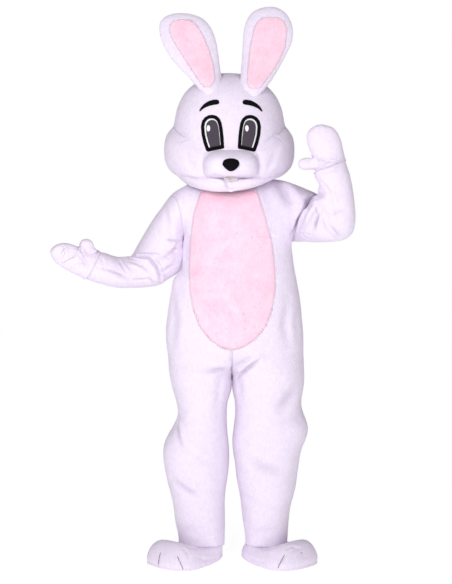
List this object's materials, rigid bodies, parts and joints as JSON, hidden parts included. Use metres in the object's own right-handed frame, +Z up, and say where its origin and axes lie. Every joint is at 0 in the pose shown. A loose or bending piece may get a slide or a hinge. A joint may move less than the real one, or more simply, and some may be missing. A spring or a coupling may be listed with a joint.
{
  "type": "rabbit mascot costume",
  "caption": "Full-body rabbit costume held in a standing pose: hollow fleece jumpsuit with a pink belly, mittens, foot covers and a padded head with tall ears.",
  "frame": {"origin": "base of the neck, midway between the wearer's shoulders that carry the costume; the soles are 1.400 m below", "axes": "+Z up, the costume faces -Y, the wearer's left side (raised arm) is +X"},
  "size_m": [1.1212, 0.4963, 2.091],
  "materials": {
    "white_fleece": "short-pile fleece",
    "pink_fleece": "short-pile fleece",
    "black_felt": "felt",
    "white_felt": "felt",
    "grey_felt": "felt",
    "cream_felt": "felt"
  },
  "bodies": {
    "root": {"back_placket": "white_fleece", "belly_panel": "pink_fleece", "brow_left": "black_felt", "brow_right": "black_felt", "ear_left": "white_fleece", "ear_left_lining": "pink_fleece", "ear_right": "white_fleece", "ear_right_lining": "pink_fleece", "eye_left_glint": "white_felt", "eye_left_iris": "grey_felt", "eye_left_rim": "black_felt", "eye_left_white": "white_felt", "eye_right_glint": "white_felt", "eye_right_iris": "grey_felt", "eye_right_rim": "black_felt", "eye_right_white": "white_felt", "foot_left_sole": "white_fleece", "foot_left_upper": "white_fleece", "foot_right_sole": "white_fleece", "foot_right_upper": "white_fleece", "head_back_left": "white_fleece", "head_back_right": "white_fleece", "head_cheek_left": "white_fleece", "head_cheek_right": "white_fleece", "head_crown": "white_fleece", "head_jaw": "white_fleece", "mitten_left_back": "white_fleece", "mitten_left_palm": "white_fleece", "mitten_left_thumb": "white_fleece", "mitten_right_back": "white_fleece", "mitten_right_palm": "white_fleece", "mitten_right_thumb": "white_fleece", "muzzle": "white_fleece", "nose": "black_felt", "sleeve_left": "white_fleece", "sleeve_right": "white_fleece", "suit_back_left": "white_fleece", "suit_back_right": "white_fleece", "suit_front_left": "white_fleece", "suit_front_right": "white_fleece", "tooth": "cream_felt"}
  },
  "joints": []
}
